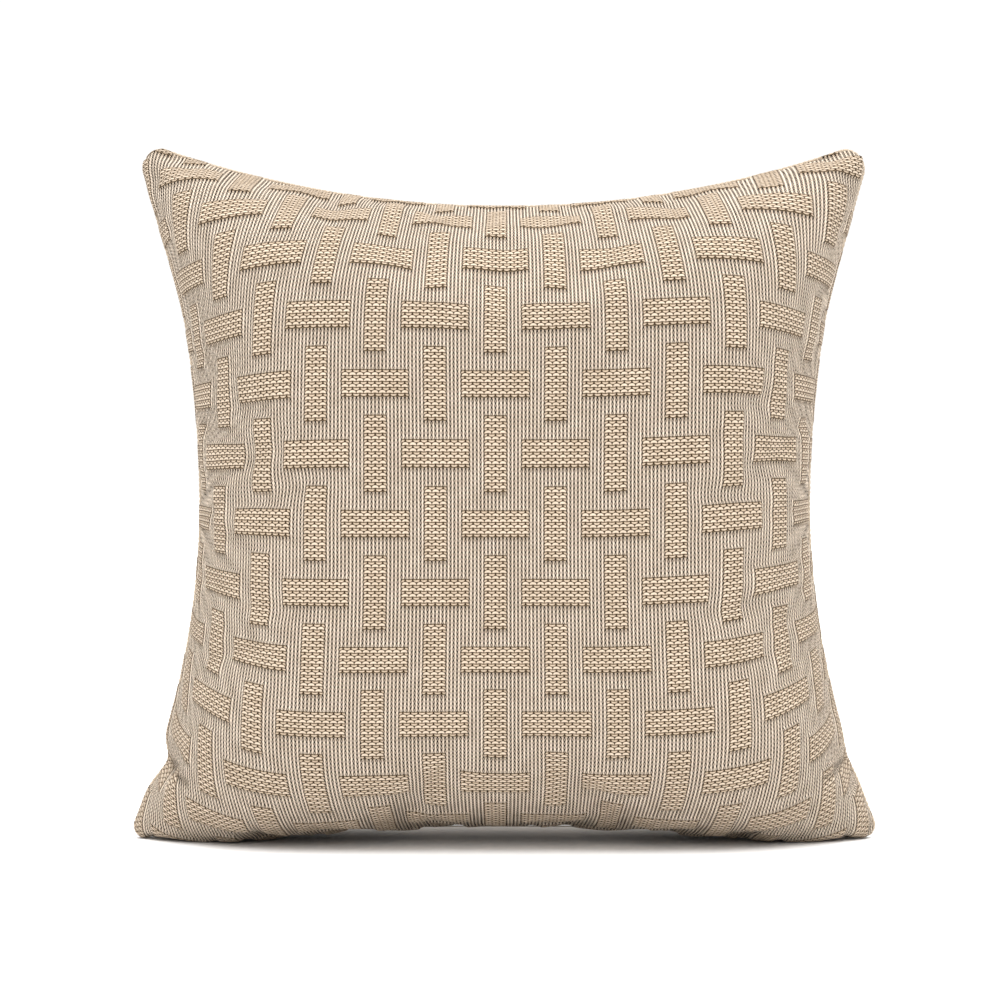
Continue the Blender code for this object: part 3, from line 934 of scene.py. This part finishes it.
def beaded_line(name, line, material, sizes):
    """One mesh of beads along a line, sizes being its tree's named inputs."""
    mesh = bpy.data.meshes.new(f"{name}_line")
    mesh.from_pydata((line * MM).tolist(), [(i, i + 1) for i in range(len(line) - 1)], [])
    piece = new_object(f"{name}_line", mesh)
    add_modifier_tree(piece, stitches_tree(material), sizes)
    return plain_mesh(piece, name)


def make_edge(edge, arcs):
    """The linked edge: one loop of yarn after another where the panels meet."""
    line = evenly(edge, EDGE_STEP)
    line[:, 1] = 0.0
    line = evenly(shaped(line, arcs), EDGE_STEP)
    line[:, 1] = 0.0
    line[:, 2] = np.maximum(line[:, 2], EDGE_LOWEST)
    piece = beaded_line("linked_edge", line, yarn_material("seam_yarn", EDGE_YARN), EDGE_BEADS)
    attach(piece, "cover")
    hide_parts("linking_seam")


def make_coils():
    """The zip's two rows of coil turns, at the pitch of a small coil zip."""
    material = thread_material("zip_coil", COIL_COLOUR, 0.5 * MM)
    along = np.linspace(-COIL_HALF_LENGTH, COIL_HALF_LENGTH, COIL_POINTS)
    for label, side in (("front", -1.0), ("back", 1.0)):
        line = np.stack([along, np.full(COIL_POINTS, side * COIL_OFFSET),
                         np.full(COIL_POINTS, ZIP_HEIGHT)], -1)
        piece = beaded_line(f"coil_turns_{label}", line, material, COIL_BEADS)
        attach(piece, "cover")
        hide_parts(f"zip_coil_{label}")


def dress_nodes():
    """Better finishes for the CAD nodes that stay as they are."""
    casing = woven_material("insert_casing", (0.80, 0.80, 0.77), 0.5 * MM)
    tape = woven_material("zip_tape", (0.58, 0.50, 0.40), 0.7 * MM)
    metal = metal_material("zip_metal")
    thread = thread_material("sewing_thread", (0.62, 0.53, 0.42), 0.9 * MM)
    satin = thread_material("label_satin", (0.86, 0.86, 0.84), 0.35 * MM)
    fibre = fibre_material("insert_fill", (0.90, 0.90, 0.90))
    plans = ((casing, ("insert_front", "insert_back")),
             (fibre, ("insert_fill",)),
             (tape, ("zip_tape_front", "zip_tape_back")),
             (metal, ("zip_slider", "zip_pull", "zip_top_stop_front", "zip_top_stop_back",
                      "zip_bottom_stop")),
             (thread, ("insert_seam", "zip_stitching_front", "zip_stitching_back")),
             (satin, ("care_label", "insert_label")))
    for material, names in plans:
        for name in names:
            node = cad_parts[name]
            node.data.materials.clear()
            node.data.materials.append(material)


def make_floor():
    mesh = bpy.data.meshes.new("floor")
    size = FLOOR_HALF
    mesh.from_pydata([(-size, -size, 0), (size, -size, 0), (size, size, 0), (-size, size, 0)],
                     [], [(0, 1, 2, 3)])
    floor = new_object("floor", mesh)
    floor.location.z = -FLOOR_DROP
    material, _, shader = shader_material("floor", rough=0.9, specular=0.1)
    shader.inputs["Base Color"].default_value = (FLOOR_WHITE, FLOOR_WHITE, FLOOR_WHITE, 1.0)
    floor.data.materials.append(material)


def make_sky():
    """White light from all round, stronger overhead and behind the pillow."""
    world = bpy.data.worlds.new("studio")
    world.use_nodes = True
    tree = world.node_tree
    way = tree.nodes.new("ShaderNodeTexCoord")
    _, back, up = parts_of(Wire(tree, way.outputs["Generated"]))
    high = up.above(0.2, 1.0) * SKY_OVERHEAD
    behind = back.above(0.3, 0.85) * SKY_BEHIND + SKY_LEAST
    seen = Wire(tree, tree.nodes.new("ShaderNodeLightPath").outputs["Is Camera Ray"])
    strength = (behind + high).mix(seen * SKY_SEEN, seen)
    tree.links.new(strength.socket, tree.nodes["Background"].inputs[1])
    tree.nodes["Background"].inputs[0].default_value = (1.0, 1.0, 1.0, 1.0)
    bpy.context.scene.world = world


def make_suns():
    for name, (energy, spread, lean) in SUNS.items():
        sun = bpy.data.lights.new(name, "SUN")
        sun.angle = math.radians(spread)
        sun.energy = energy
        lamp = new_object(name, sun)
        lamp.rotation_euler = (math.radians(lean), 0.0, 0.0)


def make_camera():
    camera = bpy.data.cameras.new("camera")
    camera.sensor_width = FILM_WIDTH
    camera.lens = CAMERA_LENS
    eye = new_object("camera", camera)
    distance = VIEW_WIDTH / (FILM_WIDTH / CAMERA_LENS)
    tilt = math.radians(CAMERA_TILT)
    eye.location = (CAMERA_X, -distance * math.cos(tilt), CAMERA_Z + distance * math.sin(tilt))
    eye.rotation_euler = (math.radians(90.0) - tilt, 0.0, 0.0)
    bpy.context.scene.camera = eye


make_cover()
make_coils()
dress_nodes()
make_floor()
make_sky()
make_suns()
make_camera()
bpy.context.scene.view_settings.view_transform = "Standard"
